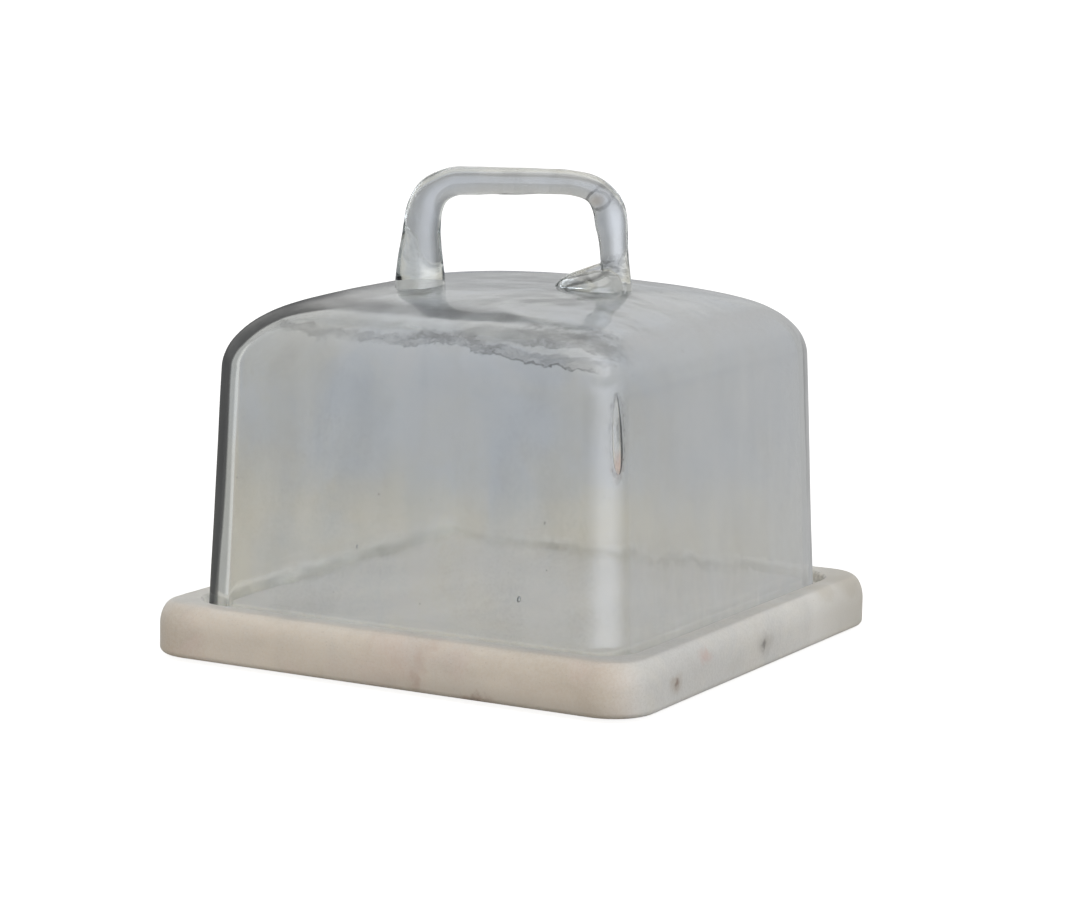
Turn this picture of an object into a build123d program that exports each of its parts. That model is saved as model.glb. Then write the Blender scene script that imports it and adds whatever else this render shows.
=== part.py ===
from build123d import *
import math
import os

# Cheese dome: a square stone board on four pads, with a routed channel, and a
# thick glass cover with a drawn-glass handle that drops into the channel.
# Millimetres, +Z up, front towards -Y. Origin: centre of the board's square,
# on the plane under the pads. Heights of the board, cover and handle are
# measured from the board's underside, which lies pad_height above the origin.

# ------------------------------------------------------------ dimensions
# pads
pad_diameter = 12.0
pad_height = 1.5
pad_edge_radius = 0.6
pad_inset = 26.0            # pad centre to the board's side

# stone board
board_side = 200.0
board_thickness = 18.9
board_corner_radius = 17.0  # in plan
top_roll_reach = 5.0        # rolled top edge, horizontally
top_roll_drop = 9.0         # rolled top edge, vertically
bottom_edge_radius = 2.2
channel_half = 88.0         # half side of the channel's outer wall
channel_corner_radius = 15.0
channel_floor = 14.5
plateau_half = 78.0         # half side of the raised middle
plateau_corner_radius = 6.0
plateau_top = 17.8
lip_radius = 1.6            # rounding of the lip's inner edge
plateau_edge_radius = 1.0
cut_height = 10.0           # of the cutters, enough to clear the board's top

# glass cover
dome_x, dome_y = -1.0, -0.2
wall_thickness = 4.5
rim_half = 85.5             # half side of the wall, carried down to the channel floor
rim_gap = 0.05              # rim to channel floor
rim_ease = 1.2              # easing of the ground rim
rim_corner_radius = 13.0    # plan corner at the foot of the wall
wall_corner_radius = 10.9   # plan corner at the top of the wall
corner_growth = 0.733       # plan corner radius gained per mm inwards on the crown
min_corner_radius = 6.5
max_corner_ratio = 0.96     # largest corner radius, as a share of the half side
station_step = 5.0          # loft station spacing along the crown
cavity_overrun = 0.5        # cavity cutter below the rim

# handle
handle_turn = 29.0          # degrees from +X towards +Y
handle_shift = -10.5        # of its middle plane, along its own normal

# shoulder and crown of the cover's outside, from the top of the straight wall:
# half side, height
crown_profile = [
    (81.6, 103.6), (81.4, 106.0), (80.9, 108.4), (80.2, 110.8), (79.2, 113.1),
    (78.0, 115.2), (76.6, 117.2), (75.0, 119.1), (73.2, 120.8), (71.3, 122.3),
    (69.2, 123.6), (66.0, 125.1), (61.0, 126.9), (55.1, 128.7), (49.2, 130.0),
    (43.3, 131.0), (34.0, 131.95), (24.0, 132.5), (14.0, 132.76), (5.0, 132.8),
]

# sections of the handle strap, foot to foot: distance along the handle, height,
# tangent angle in degrees, half width in the handle's plane, half depth across
# it, shift across it
strap_stations = [
    (-37.3, 129.5, 90, 9.8, 10.0, 0.8),
    (-37.0, 133.0, 90, 9.4, 9.4, 0.8),
    (-36.8, 139.5, 89, 8.4, 8.0, 0.6),
    (-36.6, 146.0, 88, 7.5, 6.9, 0.4),
    (-36.2, 153.2, 86, 6.7, 5.9, 0.2),
    (-35.4, 159.2, 80, 6.4, 5.5, 0.0),
    (-32.2, 165.5, 48, 5.9, 5.2, 0.0),
    (-26.0, 169.1, 14, 5.3, 5.0, 0.0),
    (-17.0, 169.75, 1, 5.1, 5.0, 0.0),
    (-3.5, 169.8, 0, 4.85, 4.9, 0.0),
    (9.0, 169.9, 0, 4.6, 4.7, 0.0),
    (18.5, 169.45, -8, 4.5, 4.7, 0.0),
    (26.4, 166.7, -42, 4.9, 4.6, -0.2),
    (30.9, 160.9, -70, 5.8, 4.5, -0.6),
    (32.1, 155.5, -80, 5.9, 4.6, -1.0),
    (33.0, 149.0, -86, 5.3, 4.8, -1.4),
    (33.5, 142.5, -88, 5.1, 5.1, -1.8),
    (33.9, 136.5, -90, 5.3, 5.6, -2.2),
    (34.0, 129.5, -90, 5.7, 6.4, -2.6),
]

# sections of the folded toe of the second foot, running back towards the
# handle's middle: distance along, shift across, height, half width, half height
toe_stations = [
    (37.0, -3.0, 131.6, 4.5, 4.5),
    (33.5, -4.5, 131.8, 9.0, 6.8),
    (28.5, -5.5, 132.1, 10.4, 7.4),
    (23.5, -5.8, 132.3, 9.6, 6.4),
    (19.0, -6.0, 132.4, 7.8, 4.9),
    (15.5, -6.2, 132.5, 5.2, 3.1),
    (13.4, -6.4, 132.6, 2.2, 1.4),
]

# derived
board_half = board_side / 2
wall_half, wall_top = crown_profile[0]
rim_z = channel_floor + rim_gap
band_z = rim_z + rim_ease   # top of the eased band at the rim
band_half = wall_half + (rim_half - wall_half) * (wall_top - band_z) / (wall_top - channel_floor)


# ------------------------------------------------------------ stone board
def edge_profile(reach):
    """Half section of the board, from its middle plane out to `reach`."""
    roll_start = board_thickness - top_roll_drop
    with BuildSketch(Plane.XZ) as section:
        with BuildLine():
            Line((0, 0), (reach - bottom_edge_radius, 0))
            bottom_round = CenterArc(
                (reach - bottom_edge_radius, bottom_edge_radius), bottom_edge_radius, -90, 90
            )
            Line(bottom_round @ 1, (reach, roll_start))
            top_roll = EllipticalCenterArc(
                (reach - top_roll_reach, roll_start),
                top_roll_reach, top_roll_drop, start_angle=0, arc_size=90,
            )
            Line(top_roll @ 1, (0, board_thickness))
            Line((0, board_thickness), (0, 0))
        make_face()
    return section.sketch


def square_block(half_side, corner_radius):
    return extrude(RectangleRounded(2 * half_side, 2 * half_side, corner_radius), cut_height)


def level_edges(shape, z, nearest, farthest):
    """Edges lying at height z whose centres are between two distances from the middle."""
    found = []
    for edge in shape.edges():
        box = edge.bounding_box()
        if abs(box.min.Z - z) < 1e-3 and abs(box.max.Z - z) < 1e-3:
            centre = edge.center()
            if nearest < max(abs(centre.X), abs(centre.Y)) < farthest:
                found.append(edge)
    return found


def make_board():
    # two crossed slabs, with a turned puck at each corner
    core_half = board_half - board_corner_radius
    puck = revolve(edge_profile(board_corner_radius), Axis.Z, 360)
    half_section = edge_profile(board_half)
    section = half_section + mirror(half_section, Plane.YZ)
    slab = Pos(0, core_half, 0) * extrude(section, amount=2 * core_half, dir=(0, -1, 0))
    board = slab + Rot(0, 0, 90) * slab
    for x in (-core_half, core_half):
        for y in (-core_half, core_half):
            board = board + Pos(x, y, 0) * puck

    # lower the middle to the plateau, then rout the channel round it
    opening = square_block(channel_half, channel_corner_radius)
    plateau = square_block(plateau_half, plateau_corner_radius)
    pocket = Pos(0, 0, plateau_top) * opening
    channel = Pos(0, 0, channel_floor) * (opening - plateau)
    board = board - pocket - channel

    lip = level_edges(board, board_thickness, 70, channel_half + 0.5)
    board = fillet(lip, lip_radius)
    plateau_rim = level_edges(board, plateau_top, 60, plateau_half + 0.5)
    board = fillet(plateau_rim, plateau_edge_radius)
    return Pos(0, 0, pad_height) * board


# ------------------------------------------------------------ glass cover
def ring(half_side, corner_radius, z):
    square = RectangleRounded(2 * half_side, 2 * half_side, corner_radius)
    return Pos(dome_x, dome_y, z + pad_height) * square


def offset_profile(profile, distance):
    """The profile moved inwards, square to the chord between each point's neighbours."""
    moved = []
    for i, (half_side, z) in enumerate(profile):
        before = profile[max(i - 1, 0)]
        after = profile[min(i + 1, len(profile) - 1)]
        run, rise = after[0] - before[0], after[1] - before[1]
        chord = math.hypot(run, rise)
        moved.append((half_side - distance * rise / chord, z + distance * run / chord))
    return moved


def even_steps(profile, step):
    """The profile resampled at even distances along itself."""
    lengths = [0.0]
    for start, end in zip(profile, profile[1:]):
        lengths.append(lengths[-1] + math.dist(start, end))
    count = round(lengths[-1] / step)
    points = []
    j = 0
    for i in range(count + 1):
        target = lengths[-1] * i / count
        while j < len(lengths) - 2 and lengths[j + 1] < target:
            j += 1
        share = (target - lengths[j]) / (lengths[j + 1] - lengths[j])
        (s0, z0), (s1, z1) = profile[j], profile[j + 1]
        points.append((s0 + (s1 - s0) * share, z0 + (z1 - z0) * share))
    return points


def plan_radius(half_side, z, inset):
    """Plan corner radius of the skin lying `inset` inside the cover's outside."""
    if z <= wall_top:
        climb = (z - channel_floor) / (wall_top - channel_floor)
        radius = rim_corner_radius + (wall_corner_radius - rim_corner_radius) * climb
    else:
        radius = wall_corner_radius + corner_growth * max(0.0, wall_half - inset - half_side)
    return min(max(radius - inset, min_corner_radius), max_corner_ratio * half_side)


def skin(crown_stations, inset):
    """Solid inside a skin: straight wall above the rim band, then shoulder and crown."""
    stations = [(band_half - inset, band_z)] + crown_stations
    rings = [ring(s, plan_radius(s, z, inset), z) for s, z in stations]
    return loft(rings[:2], ruled=True) + loft(rings[1:])


def rim_band(inset, ease, overrun=()):
    """Eased band at the rim, drawn in by `ease` at its foot, or flared if negative."""
    half_side = band_half - inset
    radius = plan_radius(half_side, band_z, inset)
    # height, share of the easing
    levels = [*overrun, (rim_z, 1), (rim_z + 0.3 * rim_ease, 0.35), (band_z, 0)]
    return loft(
        [ring(half_side - share * ease, radius - share * ease, z) for z, share in levels],
        ruled=True,
    )


def make_dome(outer):
    cavity_profile = offset_profile(crown_profile, wall_thickness)
    cavity = skin(even_steps(cavity_profile, station_step), wall_thickness)
    outer_band = rim_band(0.0, rim_ease)
    cavity_band = rim_band(wall_thickness, -rim_ease, [(rim_z - cavity_overrun, 1)])
    return (outer + outer_band) - (cavity + cavity_band)


# ------------------------------------------------------------ handle
turn = math.radians(handle_turn)
along = Vector(math.cos(turn), math.sin(turn), 0)
across = Vector(-math.sin(turn), math.cos(turn), 0)
up = Vector(0, 0, 1)
handle_origin = Vector(dome_x, dome_y, pad_height) + across * handle_shift


def handle_point(distance, shift, z):
    return handle_origin + along * distance + across * shift + up * z


def strap_section(distance, z, degrees, half_width, half_depth, shift):
    angle = math.radians(degrees)
    tangent = along * math.cos(angle) + up * math.sin(angle)
    inward = along * math.sin(angle) - up * math.cos(angle)
    plane = Plane(origin=handle_point(distance, shift, z), x_dir=inward, z_dir=tangent)
    return plane * Ellipse(half_width, half_depth)


def toe_section(distance, shift, z, half_width, half_height):
    plane = Plane(origin=handle_point(distance, shift, z), x_dir=across, z_dir=along * -1)
    return plane * Ellipse(half_width, half_height)


def make_handle(outer):
    strap = loft([strap_section(*station) for station in strap_stations])
    toe = loft([toe_section(*station) for station in toe_stations])
    # trimmed to the cover's outside; only the largest piece is the handle
    trimmed = strap + toe - outer
    return sorted(trimmed.solids(), key=lambda solid: -solid.volume)[0]


# ------------------------------------------------------------ pads
def make_pad():
    pad = Cylinder(pad_diameter / 2, pad_height, align=(Align.CENTER, Align.CENTER, Align.MIN))
    return fillet(pad.edges().sort_by(Axis.Z)[0], pad_edge_radius)


# ------------------------------------------------------------ build and export
dome_outer = skin(even_steps(crown_profile, station_step), 0.0)
parts = {
    "marble_board": make_board(),
    "glass_dome": make_dome(dome_outer),
    "glass_handle": make_handle(dome_outer),
}
pad = make_pad()
pad_offset = board_half - pad_inset
for depth_name, y in (("front", -pad_offset), ("back", pad_offset)):
    for side_name, x in (("left", -pad_offset), ("right", pad_offset)):
        parts[f"foot_pad_{depth_name}_{side_name}"] = Pos(x, y, 0) * pad

os.makedirs("parts", exist_ok=True)
for name, part in parts.items():
    export_step(part, f"parts/{name}.step")
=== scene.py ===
import heapq
import math

import bpy
import bmesh
import numpy as np
from mathutils import Matrix, Vector, noise

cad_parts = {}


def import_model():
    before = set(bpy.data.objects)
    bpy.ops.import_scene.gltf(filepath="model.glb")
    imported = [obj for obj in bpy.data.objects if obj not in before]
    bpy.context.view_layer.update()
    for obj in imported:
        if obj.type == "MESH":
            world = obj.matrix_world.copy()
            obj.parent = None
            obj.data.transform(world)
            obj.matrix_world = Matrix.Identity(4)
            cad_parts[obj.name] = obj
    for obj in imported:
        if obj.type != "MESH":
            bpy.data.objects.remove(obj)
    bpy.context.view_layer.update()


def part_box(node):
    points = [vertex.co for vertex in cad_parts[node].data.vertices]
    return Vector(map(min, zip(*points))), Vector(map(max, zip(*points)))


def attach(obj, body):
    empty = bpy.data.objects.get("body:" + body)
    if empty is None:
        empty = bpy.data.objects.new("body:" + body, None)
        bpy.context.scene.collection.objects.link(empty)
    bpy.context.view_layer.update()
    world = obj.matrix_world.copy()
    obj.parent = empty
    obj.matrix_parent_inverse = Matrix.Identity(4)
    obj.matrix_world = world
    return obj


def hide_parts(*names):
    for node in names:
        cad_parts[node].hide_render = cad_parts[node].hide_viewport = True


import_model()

MM = 0.001

board_lo, board_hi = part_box("marble_board")
dome_lo, dome_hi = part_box("glass_dome")
PAD = board_lo.z / MM                      # board's underside above the table
DX = (dome_lo.x + dome_hi.x) / 2 / MM      # cover's centre in plan
DY = (dome_lo.y + dome_hi.y) / 2 / MM

scene = bpy.context.scene


# ------------------------------------------------------------------ mesh tools
def smooth(x, a, b):
    t = np.clip((np.asarray(x, float) - a) / (b - a), 0, 1)
    return t * t * (3 - 2 * t)


def ring_xy(s, r, m):
    """8*m points round a rounded square of half side s, counter-clockwise, and their plan normals."""
    d = (np.arange(2 * m) - m) / m * ((s - r) + math.pi / 4 * r)
    flat = s - r
    a = np.clip(np.abs(d) - flat, 0, None) / max(r, 1e-9)
    on = np.abs(d) <= flat
    sg = np.sign(d)
    x = np.where(on, s, flat + r * np.cos(a))
    y = np.where(on, d, sg * (flat + r * np.sin(a)))
    nx = np.where(on, 1.0, np.cos(a))
    ny = np.where(on, 0.0, sg * np.sin(a))
    P = np.concatenate([np.stack(p, 1) for p in ((x, y), (-y, x), (-x, -y), (y, -x))])
    Nn = np.concatenate([np.stack(p, 1) for p in ((nx, ny), (-ny, nx), (-nx, -ny), (ny, -nx))])
    return P, Nn


def slopes(rows):
    """Profile normal (radial, up) of each (s, z) row, pointing out of a shape whose profile runs outwards and down."""
    p = np.array([(q[0], q[1]) for q in rows], float)
    d = np.gradient(p, axis=0)
    n = np.stack([-d[:, 1], d[:, 0]], 1)
    return n / np.maximum(np.linalg.norm(n, axis=1)[:, None], 1e-9)


class Skin:
    """Points, displacement normals and faces of one closed surface, built from rings."""

    def __init__(self):
        self.P, self.N, self.F, self.n = [], [], [], 0

    def add(self, P, N):
        start = self.n
        self.P.append(P)
        self.N.append(N)
        self.n += len(P)
        return start

    def ring(self, s, r, z, pn, m):
        xy, nn = ring_xy(s, r, m)
        P = np.column_stack([xy, np.full(len(xy), z)])
        N = np.column_stack([nn * pn[0], np.full(len(xy), pn[1])])
        return self.add(P, N)

    def cap(self, rows, zc, up=1):
        """A square grid of rings: rows[k-1] = (s, z, r) at level k. Returns the outermost ring's start."""
        pn = slopes([(0.0, zc)] + [(s, z) for s, z, r in rows])
        c = self.add(np.array([[0.0, 0.0, zc]]), np.array([[0.0, 0.0, 1.0]]))
        starts = [c]
        for k, (s, z, r) in enumerate(rows, 1):
            starts.append(self.ring(s, r, z, pn[k], k))

        def at(i, j):
            k = max(abs(i), abs(j))
            if k == 0:
                return c
            if i == k and j < k:
                o = j + k
            elif j == k and i > -k:
                o = 2 * k + (k - i)
            elif i == -k and j > -k:
                o = 4 * k + (k - j)
            else:
                o = 6 * k + (i + k)
            return starts[k] + o

        M = len(rows)
        for i in range(-M, M):
            for j in range(-M, M):
                f = (at(i, j), at(i + 1, j), at(i + 1, j + 1), at(i, j + 1))
                self.F.append(f if up > 0 else f[::-1])
        return starts[-1]

    def strip(self, a, b, count):
        """Quads between two rings; a above or outside b on a surface seen from outside."""
        for i in range(count):
            j = (i + 1) % count
            self.F.append((a + i, b + i, b + j, a + j))

    def arrays(self):
        return np.concatenate(self.P), np.concatenate(self.N)


def build(name, P, F, smooth_shade=True):
    me = bpy.data.meshes.new(name)
    me.from_pydata((np.asarray(P) * MM).tolist(), [], F)
    me.update()
    if smooth_shade:
        me.shade_smooth()
    ob = bpy.data.objects.new(name, me)
    scene.collection.objects.link(ob)
    return ob


def nz(p, k, seed=0.0):
    return noise.noise(Vector((p[0] / k[0] + seed, p[1] / k[1] - seed * 0.7, p[2] / k[2] + seed * 1.3)))


def catmull(rows, n):
    """Rows of numbers interpolated smoothly at n even steps of the distance in their first two columns."""
    A = np.array(rows, float)
    step = np.hypot(np.diff(A[:, 0]), np.diff(A[:, 1]))
    t = np.concatenate([[0], np.cumsum(step)])
    # tangents by finite difference, then cubic Hermite
    m = np.gradient(A, t, axis=0)
    q = np.linspace(0, t[-1], n)
    i = np.clip(np.searchsorted(t, q, side="right") - 1, 0, len(t) - 2)
    h = (t[i + 1] - t[i])[:, None]
    x = ((q - t[i]) / (t[i + 1] - t[i]))[:, None]
    return ((2 * x**3 - 3 * x**2 + 1) * A[i] + (x**3 - 2 * x**2 + x) * h * m[i]
            + (-2 * x**3 + 3 * x**2) * A[i + 1] + (x**3 - x**2) * h * m[i + 1])


# ------------------------------------------------------------------ glass cover
WALL = 4.5
Z_WALL, S_WALL = 103.6, 81.6
Z_RIM = 14.55
TOP = [
    (81.6, 103.6), (81.4, 106.0), (80.9, 108.4), (80.2, 110.8), (79.2, 113.1), (78.0, 115.2),
    (76.6, 117.2), (75.0, 119.1), (73.2, 120.8), (71.3, 122.3), (69.2, 123.6),
    (66.0, 125.1), (61.0, 126.9), (55.1, 128.7), (49.2, 130.0), (43.3, 131.0),
    (34.0, 131.95), (24.0, 132.5), (14.0, 132.76), (5.0, 132.8), (0.0, 132.8),
]


def plan_radius(s, z, t):
    grown = 10.9 + 0.733 * max(0.0, 81.6 - t - s)
    if z <= Z_WALL:
        grown = 13.0 + (10.9 - 13.0) * (z - 14.5) / (Z_WALL - 14.5)
    return min(max(grown - 0.36 * t, 6.0), 0.985 * s)


def top_curve(offset):
    c = catmull(TOP, 1200)
    for _ in range(60):
        c[1:-1] = (c[:-2] + 2 * c[1:-1] + c[2:]) / 4
    d = np.gradient(c, axis=0)
    n = np.stack([-d[:, 1], d[:, 0]], 1)          # runs inwards and up, so this points inwards
    n /= np.linalg.norm(n, axis=1)[:, None]
    c = c + n * offset
    return c[c[:, 0] > 0.0][::-1]                 # centre outwards


M = 66


def levels(offset):
    c = top_curve(offset)
    run = np.concatenate([[0], np.cumsum(np.hypot(*np.diff(c, axis=0).T))])
    total = run[-1]
    inner_part = total - 54.0
    ki = 27
    stops = np.concatenate([inner_part * np.arange(1, ki + 1) / ki,
                            inner_part + 54.0 * np.arange(1, M - ki + 1) / (M - ki)])
    s = np.interp(stops, run, c[:, 0])
    z = np.interp(stops, run, c[:, 1])
    return [(float(a), float(b)) for a, b in zip(s, z)], float(c[0, 1])


def wall_rows(t, n=36):
    s_top = S_WALL - t
    z0 = Z_RIM + 1.2
    out = []
    for i in range(1, n + 1):
        z = Z_WALL + (z0 - Z_WALL) * i / n
        out.append((s_top + 0.04377 * (Z_WALL - z), z))
    return out


glass = Skin()
out_rows, zc = levels(0.0)
rows = [(s, z, plan_radius(s, z, 0.0)) for s, z in out_rows]
last = glass.cap(rows, zc, 1)
n_outer_cap = glass.n
cols = 8 * M
outer_w = wall_rows(0.0)
ids = [last]
wn = slopes([(rows[-1][0], rows[-1][1])] + outer_w)
for (s, z), pn in zip(outer_w, wn[1:]):
    ids.append(glass.ring(s, plan_radius(s, z, 0.0), z, pn, M))
n_outer = glass.n
s_o, z_o = outer_w[-1]
in_rows, zci = levels(WALL)
inner_w = wall_rows(WALL)
s_i, z_i = inner_w[-1]
# ground rim, eased on both edges
mid, half_w = (s_o + s_i) / 2, (s_o - s_i) / 2
for k in range(1, 12):
    a = math.pi * k / 12
    ca, sa = math.cos(a), math.sin(a)
    ss = mid + half_w * math.copysign(abs(ca) ** 0.55, ca)
    zz = z_o - 1.2 * sa ** 0.5
    f_ = (s_o - ss) / (s_o - s_i)
    rr = plan_radius(s_o, z_o, 0.0) * (1 - f_) + plan_radius(s_i, z_i, WALL) * f_
    ids.append(glass.ring(ss, rr, zz, (ca, -sa), M))
n_rim = glass.n
inner_ids = []
wn = slopes([(in_rows[-1][0], in_rows[-1][1])] + inner_w)
for (s, z), pn in zip(inner_w[::-1], wn[1:][::-1]):
    ids.append(glass.ring(s, plan_radius(s, z, WALL), z, pn, M))
n_inner_wall = glass.n
rows_i = [(s, z, plan_radius(s, z, WALL)) for s, z in in_rows]
last_i = glass.cap(rows_i, zci, -1)
ids.append(last_i)
for a, b in zip(ids, ids[1:]):
    glass.strip(a, b, cols)

# where the gather folded as it filled the shoulder: x, height
FOLD_A = np.array([(-66, 120.3), (-48, 118.8), (-35, 118.0), (-21, 118.1), (-6, 117.8), (5, 119.0), (17, 119.2), (26, 117.9),
                   (34, 117.6), (42, 116.9), (52, 115.7), (62, 115.2), (70, 114.1), (75, 113.2)])
FOLD_B = np.array([(12, 121.2), (30, 122.4), (46.4, 122.7), (55, 121.8), (62, 121.5), (68, 120.4), (73, 118.8), (78, 116.0)])


def ridge_at(p, fold, width, seed):
    if not fold[0, 0] <= p[0] <= fold[-1, 0]:
        return 0.0
    zc_ = np.interp(p[0], fold[:, 0], fold[:, 1]) + 1.3 * nz(p, (11, 60, 60), seed)
    ends = min(1.0, (p[0] - fold[0, 0]) / 8.0, (fold[-1, 0] - p[0]) / 5.0)
    return ends * math.exp(-((p[2] - zc_) / width) ** 2)


P, Nn = glass.arrays()
is_inner = np.arange(len(P)) >= n_rim
is_rim = (np.arange(len(P)) >= n_outer) & ~is_inner

disp = np.zeros(len(P))
for i, p in enumerate(P):
    z = p[2]
    if is_rim[i]:
        continue
    near_rim = min(1.0, max(0.0, (z - 16.0) / 10.0))
    if not is_inner[i]:
        v = 0.20 * nz(p, (46, 46, 46), 3.1) + 0.075 * nz(p, (17, 17, 22), 7.7)
        v += 0.022 * nz(p, (7, 7, 9), 1.9) + 0.03 * nz(p, (9, 9, 70), 5.3)
        if p[1] < -55 and 108 < z < 127:
            v += 0.10 * ridge_at(p, FOLD_A, 1.8, 2.2) - 0.08 * ridge_at(p, FOLD_B, 1.8, 4.4)
        disp[i] = v * near_rim
    else:
        v = 0.42 * nz(p, (52, 52, 60), 11.3) + 0.16 * nz(p, (20, 20, 30), 4.4)
        v += 0.05 * nz(p, (9, 9, 12), 2.2) + 0.05 * nz(p, (8, 8, 90), 9.1)
        # chill wrinkles where the gather first met the mould's shoulder
        if p[1] < -50 and 104 < z < 125:
            v += 0.32 * ridge_at(p, FOLD_A, 2.0, 2.2) - 0.28 * ridge_at(p, FOLD_B, 2.2, 4.4)
        band = math.exp(-((z - 114.5) / 6.0) ** 2)
        if band > 0.01:
            u = nz(p, (34, 34, 26), 6.6) * 2.2 + z / 5.2
            ridge = 1.0 - abs(math.sin(u * 1.7))
            v += 0.45 * band * (0.34 * ridge ** 3 + 0.10 * nz(p, (12, 12, 5), 8.8))
        top = max(0.0, min(1.0, (z - 119.0) / 6.0))
        if top > 0:
            v += top * 0.10 * nz(p, (15, 15, 15), 13.7)
        disp[i] = v * near_rim
P = P + Nn * disp[:, None]
P[:, 0] += DX
P[:, 1] += DY
P[:, 2] += PAD


def outward(ob, inside_out=False):
    bm = bmesh.new()
    bm.from_mesh(ob.data)
    bmesh.ops.recalc_face_normals(bm, faces=bm.faces)
    if inside_out:
        bmesh.ops.reverse_faces(bm, faces=bm.faces)
    bm.to_mesh(ob.data)
    bm.free()
    return ob


# the skin the handle's feet are pressed on, a hair above the cover's own
n_skin = n_outer_cap
lid = P[:n_skin] + Nn[:n_skin] * 0.05
lid_faces = [f for f in glass.F if max(f) < n_skin]
rim_ids = list(range(last, last + cols))
lid = np.vstack([lid, [[DX, DY, 90.0]]])
lid_faces += [(rim_ids[i], n_skin, rim_ids[(i + 1) % cols]) for i in range(cols)]
cutter = outward(build("lid", lid, lid_faces))


def blob(centre, across, up, deep, r, taper=0.0, lean=0.0, nu=18, nv=14):
    """A closed void: half sizes r = (across, up, deep) along three unit vectors, thinner above when tapered."""
    c, A_, U_, D_ = (np.array(q, float) for q in (centre, across, up, deep))
    pts, faces = [c - U_ * r[1]], []
    for i in range(1, nv):
        h = -math.cos(math.pi * i / nv)
        w = math.sin(math.pi * i / nv) * (1.0 - taper * (h + 1) / 2)
        for j in range(nu):
            q = 2 * math.pi * j / nu
            pts.append(c + U_ * r[1] * h + A_ * (r[0] * w * math.cos(q) + lean * h) + D_ * r[2] * w * math.sin(q))
    pts.append(c + U_ * r[1])
    for j in range(nu):
        k = (j + 1) % nu
        faces.append((0, 1 + k, 1 + j))
        for i in range(nv - 2):
            faces.append((1 + i * nu + j, 1 + i * nu + k, 1 + (i + 1) * nu + k, 1 + (i + 1) * nu + j))
        faces.append((len(pts) - 1, 1 + (nv - 2) * nu + j, 1 + (nv - 2) * nu + k))
    return np.array(pts), faces


voids_p, voids_f, at_v = [], [], 0


def void(*a, **k):
    global at_v
    p_, f_ = blob(*a, **k)
    voids_p.append(p_)
    voids_f.extend([tuple(i + at_v for i in f) for f in f_])
    at_v += len(p_)


UP = (0.0, 0.0, 1.0)
# one long tear in the near corner, two marks low on the front and a scatter of seeds
void((78.75, -75.0, 93.0 + PAD), (0.74, 0.67, 0), UP, (0.67, -0.74, 0), (2.35, 14.0, 0.85), 0.45, -0.55, 32, 40)
void((46.7, -82.6, 33.8 + PAD), (1, 0, 0), UP, (0, 1, 0), (0.72, 1.15, 0.55), 0.1, 0.15)
void((55.8, -81.6, 61.1 + PAD), (1, 0, 0), UP, (0, 1, 0), (0.28, 0.62, 0.25), 0.0, 0.15)
rng = np.random.default_rng(41)
seeds_at = rng.choice(n_outer - 1, 90, replace=False) + 1
for q in seeds_at:
    if P[q, 2] < 24 or not 0 < q < n_outer:
        continue
    nn = Nn[q] / np.linalg.norm(Nn[q])
    ax = np.cross(nn, (0.0, 0.0, 1.0))
    if np.linalg.norm(ax) < 0.2:
        ax = np.cross(nn, (0.0, 1.0, 0.0))
    ax /= np.linalg.norm(ax)
    up_ = np.cross(ax, nn)
    rr = 0.10 + 0.26 * rng.random() ** 2.2
    void(P[q] - nn * (1.0 + 2.4 * rng.random()), ax, up_, nn, (rr, rr * (1.0 + 1.6 * rng.random()), rr * 0.8), 0.0, 0.0, 10, 8)

shell = outward(build("shell", P, glass.F))
holes = outward(build("holes", np.vstack(voids_p), voids_f), True)
bm = bmesh.new()
bm.from_mesh(shell.data)
bm.from_mesh(holes.data)
me = bpy.data.meshes.new("glass_dome_body")
bm.to_mesh(me)
bm.free()
me.shade_smooth()
cover = bpy.data.objects.new("glass_dome_body", me)
scene.collection.objects.link(cover)
for o in (shell, holes):
    bpy.data.objects.remove(o)

# ------------------------------------------------------------------ handle
TURN, SHIFT = math.radians(29.0), -10.5
eu = np.array([math.cos(TURN), math.sin(TURN), 0.0])
ev = np.array([-math.sin(TURN), math.cos(TURN), 0.0])
ez = np.array([0.0, 0.0, 1.0])
root = np.array([DX, DY, PAD]) + ev * SHIFT

# u, height over the board's underside, half width in plane, half depth, shift across
STRAP = [
    (-36.7, 126.0, 9.5, 11.2, 0.8),
    (-36.7, 130.2, 9.3, 10.4, 0.8),
    (-36.7, 133.0, 9.1, 9.5, 0.8),
    (-36.8, 139.5, 8.4, 8.0, 0.6),
    (-36.6, 146.0, 7.5, 6.9, 0.4),
    (-36.2, 153.2, 6.75, 5.9, 0.2),
    (-35.4, 159.2, 6.45, 5.5, 0.0),
    (-32.1, 165.6, 5.9, 5.2, 0.0),
    (-26.0, 169.1, 5.3, 5.0, 0.0),
    (-17.0, 169.75, 5.1, 5.0, 0.0),
    (-3.5, 169.8, 4.85, 4.9, 0.0),
    (9.0, 169.9, 4.6, 4.7, 0.0),
    (18.5, 169.45, 4.5, 4.7, 0.0),
    (26.4, 166.7, 4.9, 4.6, -0.2),
    (30.9, 160.9, 5.8, 4.5, -0.6),
    (32.1, 155.5, 5.9, 4.6, -1.0),
    (33.0, 149.0, 5.3, 4.8, -1.4),
    (33.5, 142.5, 5.1, 5.1, -1.8),
    (33.9, 136.5, 5.4, 5.8, -2.2),
    (34.0, 130.2, 6.2, 7.2, -2.6),
    (34.0, 126.0, 6.6, 7.8, -2.6),
]


def world(u, v, z):
    return root + np.multiply.outer(u, eu) + np.multiply.outer(v, ev) + np.multiply.outer(z, ez)


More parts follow.
